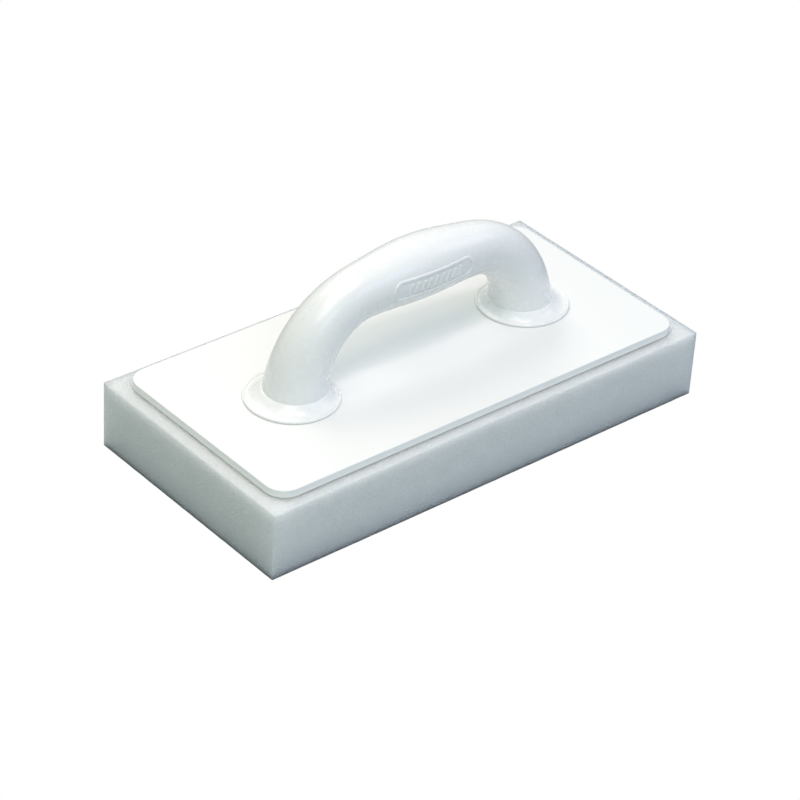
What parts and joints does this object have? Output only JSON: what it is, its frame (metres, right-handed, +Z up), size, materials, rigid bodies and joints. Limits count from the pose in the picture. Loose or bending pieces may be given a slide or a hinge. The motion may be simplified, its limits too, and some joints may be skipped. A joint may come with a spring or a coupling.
{
  "type": "grout float",
  "caption": "Sponge grout float: a rectangular foam pad bonded under a moulded plate, with a hollow arched handle screwed on over round foot collars.",
  "frame": {"origin": "centre of the foam pad's working face, at the bottom of the float", "axes": "+X along the float's length and the handle, +Y across it, +Z up from the working face to the grip; the badge panel is on the handle's -Y side"},
  "size_m": [0.28, 0.14, 0.109],
  "materials": {
    "foam": "matte",
    "adhesive": "matte",
    "plate_plastic": "satin",
    "collar_plastic": "gloss",
    "handle_plastic": "gloss",
    "screw_steel": "satin"
  },
  "bodies": {
    "root": {"sponge_pad": "foam", "pad_adhesive": "adhesive", "backing_plate": "plate_plastic", "front_foot_collar": "collar_plastic", "rear_foot_collar": "collar_plastic", "handle_shell_left": "handle_plastic", "handle_shell_right": "handle_plastic", "plate_screws": "screw_steel"}
  },
  "joints": []
}
